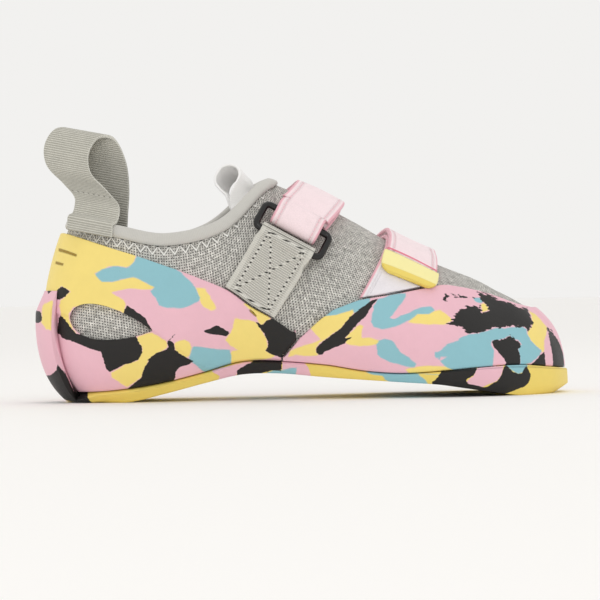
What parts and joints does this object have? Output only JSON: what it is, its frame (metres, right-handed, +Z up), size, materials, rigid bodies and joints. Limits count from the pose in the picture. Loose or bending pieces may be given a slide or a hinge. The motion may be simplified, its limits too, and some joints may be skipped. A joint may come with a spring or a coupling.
{
  "type": "climbing shoe",
  "caption": "Climbing shoe with knitted upper, camouflage rubber rands, cupped sole, two hook-and-loop straps through wire rings and a heel pull loop.",
  "frame": {"origin": "on the floor under the middle of the shoe's box", "axes": "+X from heel to toe, +Y to the shoe's inner (big toe) side, +Z up"},
  "size_m": [0.2374, 0.0876, 0.1197],
  "materials": {
    "rubber": "satin",
    "knit": "matte",
    "binding": "matte",
    "footbed": "matte",
    "webbing": "matte",
    "wire": "gloss",
    "strap": "matte",
    "tab": "satin",
    "loop": "matte"
  },
  "bodies": {
    "root": {"outsole": "rubber", "heel_rand": "rubber", "toe_rand": "rubber", "upper": "knit", "collar_binding": "binding", "insole": "footbed", "instep_ring_webbing": "webbing", "instep_ring": "wire", "instep_strap": "strap", "instep_strap_tab": "tab", "forefoot_strap": "strap", "forefoot_strap_tab": "tab", "forefoot_ring_webbing": "webbing", "forefoot_ring": "wire", "heel_loop": "loop", "front_loop": "loop"}
  },
  "joints": []
}
